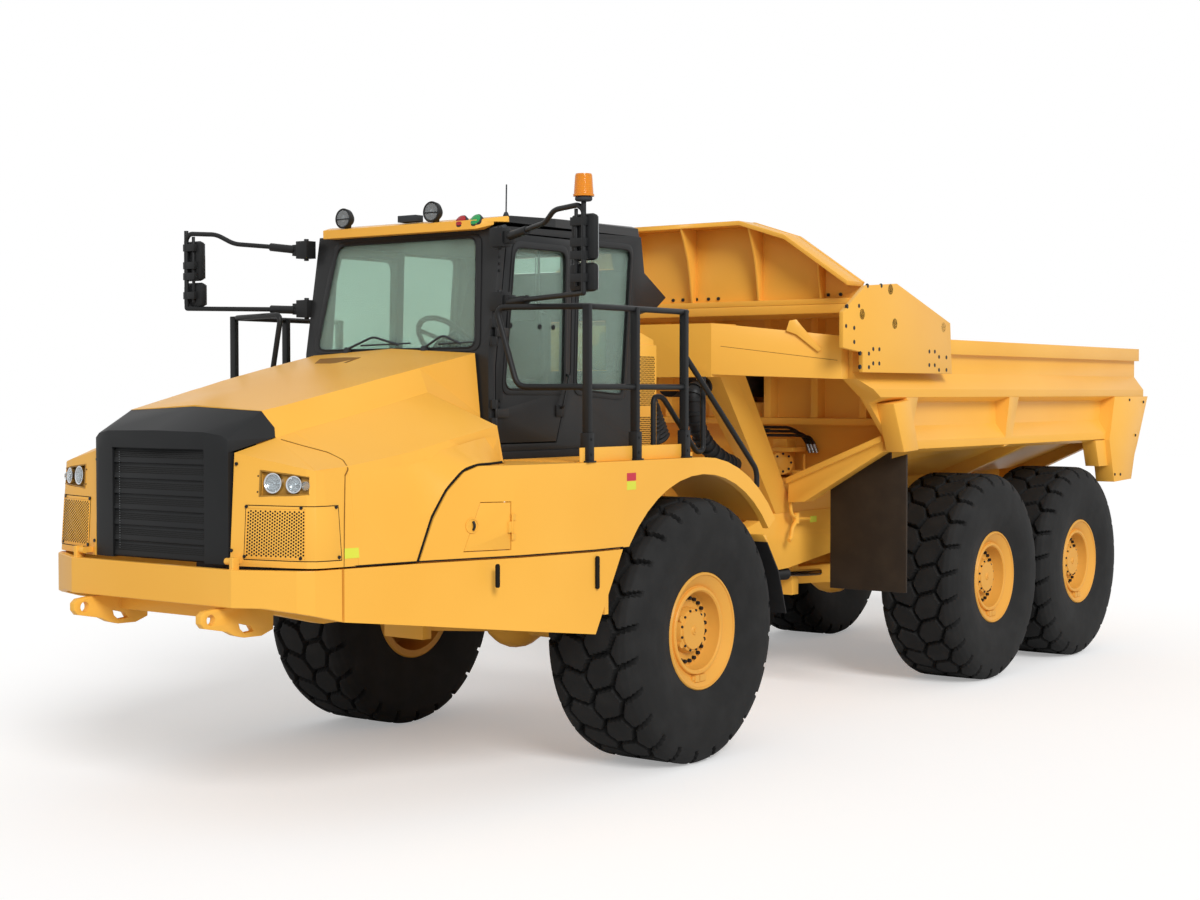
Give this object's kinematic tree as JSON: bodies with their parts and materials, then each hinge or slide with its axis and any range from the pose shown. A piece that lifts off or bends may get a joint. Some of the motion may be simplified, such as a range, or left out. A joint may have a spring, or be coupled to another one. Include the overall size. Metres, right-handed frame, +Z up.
{
  "type": "articulated dump truck",
  "caption": "Six-wheel articulated dump truck: cab tractor and hitch, and a trailer whose load body is emptied by a sliding ejector blade and a drop tailgate.",
  "frame": {"origin": "centre of the footprint, on the ground", "axes": "+Z up, the truck faces -Y, +X is its left side"},
  "size_m": [3.8, 11.95, 4],
  "materials": {
    "yellow_paint": "semi-gloss",
    "rim_paint": "semi-gloss",
    "black_paint": "satin",
    "tyre_rubber": "matt",
    "flap_rubber": "matt",
    "tinted_glass": "clear tint",
    "hard_chrome": "polished",
    "cast_iron": "as cast, primed",
    "cab_trim": "grained"
  },
  "bodies": {
    "tractor": {"tractor_frame": "yellow_paint", "front_axle": "cast_iron", "engine": "cast_iron", "bumper": "yellow_paint", "fender_left": "yellow_paint", "fender_right": "yellow_paint", "cab_shell": "black_paint", "cab_roof": "yellow_paint", "windscreen": "tinted_glass", "side_glass_left": "tinted_glass", "side_glass_right": "tinted_glass", "seat": "cab_trim", "dashboard": "cab_trim", "handrail_left": "black_paint", "handrail_right": "black_paint", "cooler_box": "yellow_paint", "mirror_left": "black_paint", "mirror_right": "black_paint"},
    "hood": {"hood": "yellow_paint", "grille_surround": "black_paint", "grille": "black_paint"},
    "cab_door": {"cab_door": "black_paint", "door_glass": "tinted_glass"},
    "service_door": {"service_door": "yellow_paint"},
    "hitch": {"hitch_head": "yellow_paint"},
    "trailer": {"trailer_frame": "yellow_paint", "front_portal": "yellow_paint", "mid_axle": "cast_iron", "rear_axle": "cast_iron", "body_floor": "yellow_paint", "body_side_left": "yellow_paint", "body_side_right": "yellow_paint", "splash_flap_left": "flap_rubber", "splash_flap_right": "flap_rubber", "ram_barrel": "black_paint"},
    "ejector": {"ejector_blade": "yellow_paint", "ejector_guard": "yellow_paint", "carriage_left": "yellow_paint", "carriage_right": "yellow_paint", "ram_rod": "hard_chrome"},
    "ram_sleeve_1": {"ram_sleeve_1": "hard_chrome"},
    "ram_sleeve_2": {"ram_sleeve_2": "hard_chrome"},
    "tailgate": {"tailgate": "yellow_paint"},
    "steer_barrel_left": {"steer_barrel_left": "black_paint"},
    "steer_barrel_right": {"steer_barrel_right": "black_paint"},
    "steer_rod_left": {"steer_rod_left": "hard_chrome"},
    "steer_rod_right": {"steer_rod_right": "hard_chrome"},
    "wheel_front_left": {"tyre_front_left": "tyre_rubber", "rim_front_left": "rim_paint"},
    "wheel_front_right": {"tyre_front_right": "tyre_rubber", "rim_front_right": "rim_paint"},
    "wheel_mid_left": {"tyre_mid_left": "tyre_rubber", "rim_mid_left": "rim_paint"},
    "wheel_mid_right": {"tyre_mid_right": "tyre_rubber", "rim_mid_right": "rim_paint"},
    "wheel_rear_left": {"tyre_rear_left": "tyre_rubber", "rim_rear_left": "rim_paint"},
    "wheel_rear_right": {"tyre_rear_right": "tyre_rubber", "rim_rear_right": "rim_paint"}
  },
  "joints": [
    {"name": "articulation", "type": "hinge", "parent": "tractor", "child": "hitch", "pos_m": [0, -0.917, 1.15], "axis": [0, 0, 1], "range_deg": [-45, 45]},
    {"name": "oscillation", "type": "hinge", "parent": "hitch", "child": "trailer", "pos_m": [0, -0.917, 1.15], "axis": [0, 1, 0], "range_deg": [-10, 10]},
    {"name": "hood_tilt", "type": "hinge", "parent": "tractor", "child": "hood", "pos_m": [0, -5.82, 1.61], "axis": [1, 0, 0], "range_deg": [0, 60]},
    {"name": "cab_door_swing", "type": "hinge", "parent": "tractor", "child": "cab_door", "pos_m": [0.864, -3.641, 2.7], "axis": [0, 0, -1], "range_deg": [0, 60]},
    {"name": "service_door_swing", "type": "hinge", "parent": "tractor", "child": "service_door", "pos_m": [1.54117, -4.301, 1.76], "axis": [0, 0, 1], "range_deg": [0, 100]},
    {"name": "tailgate_swing", "type": "hinge", "parent": "trailer", "child": "tailgate", "pos_m": [0, 5.455, 1.83], "axis": [-1, 0, 0], "range_deg": [0, 60]},
    {"name": "ejector_slide", "type": "slide", "parent": "trailer", "child": "ejector", "axis": [0, 1, 0], "range_m": [0, 3.9]},
    {"name": "ram_sleeve_1_slide", "type": "slide", "parent": "trailer", "child": "ram_sleeve_1", "axis": [0, 1, 0], "range_m": [0, 1.3]},
    {"name": "ram_sleeve_2_slide", "type": "slide", "parent": "trailer", "child": "ram_sleeve_2", "axis": [0, 1, 0], "range_m": [0, 2.6]},
    {"name": "steer_barrel_left_swing", "type": "hinge", "parent": "tractor", "child": "steer_barrel_left", "pos_m": [0.62, -2.075, 1.1], "axis": [0, 0, 1], "range_deg": [-13, 13]},
    {"name": "steer_rod_left_slide", "type": "slide", "parent": "steer_barrel_left", "child": "steer_rod_left", "axis": [-0.0725, 0.9974, 0], "range_m": [-0.42, 0.42]},
    {"name": "steer_barrel_right_swing", "type": "hinge", "parent": "tractor", "child": "steer_barrel_right", "pos_m": [-0.62, -2.075, 1.1], "axis": [0, 0, 1], "range_deg": [-13, 13]},
    {"name": "steer_rod_right_slide", "type": "slide", "parent": "steer_barrel_right", "child": "steer_rod_right", "axis": [0.0725, 0.9974, 0], "range_m": [-0.42, 0.42]},
    {"name": "wheel_front_left_spin", "type": "hinge", "parent": "tractor", "child": "wheel_front_left", "pos_m": [1.3435, -2.375, 0.928], "axis": [1, 0, 0], "continuous": true},
    {"name": "wheel_front_right_spin", "type": "hinge", "parent": "tractor", "child": "wheel_front_right", "pos_m": [-1.3435, -2.375, 0.928], "axis": [1, 0, 0], "continuous": true},
    {"name": "wheel_mid_left_spin", "type": "hinge", "parent": "trailer", "child": "wheel_mid_left", "pos_m": [1.3435, 2.39, 0.928], "axis": [1, 0, 0], "continuous": true},
    {"name": "wheel_mid_right_spin", "type": "hinge", "parent": "trailer", "child": "wheel_mid_right", "pos_m": [-1.3435, 2.39, 0.928], "axis": [1, 0, 0], "continuous": true},
    {"name": "wheel_rear_left_spin", "type": "hinge", "parent": "trailer", "child": "wheel_rear_left", "pos_m": [1.3435, 4.356, 0.928], "axis": [1, 0, 0], "continuous": true},
    {"name": "wheel_rear_right_spin", "type": "hinge", "parent": "trailer", "child": "wheel_rear_right", "pos_m": [-1.3435, 4.356, 0.928], "axis": [1, 0, 0], "continuous": true}
  ],
  "couplings": [
    {"joint": "ram_sleeve_1_slide", "follows": "ejector_slide", "ratio": 0.33333},
    {"joint": "ram_sleeve_2_slide", "follows": "ejector_slide", "ratio": 0.66667},
    {"joint": "steer_barrel_left_swing", "follows": "articulation", "ratio": 0.2748},
    {"joint": "steer_barrel_right_swing", "follows": "articulation", "ratio": 0.2748},
    {"joint": "steer_rod_left_slide", "follows": "articulation", "m_per_rad": 0.5236},
    {"joint": "steer_rod_right_slide", "follows": "articulation", "m_per_rad": -0.5236}
  ]
}
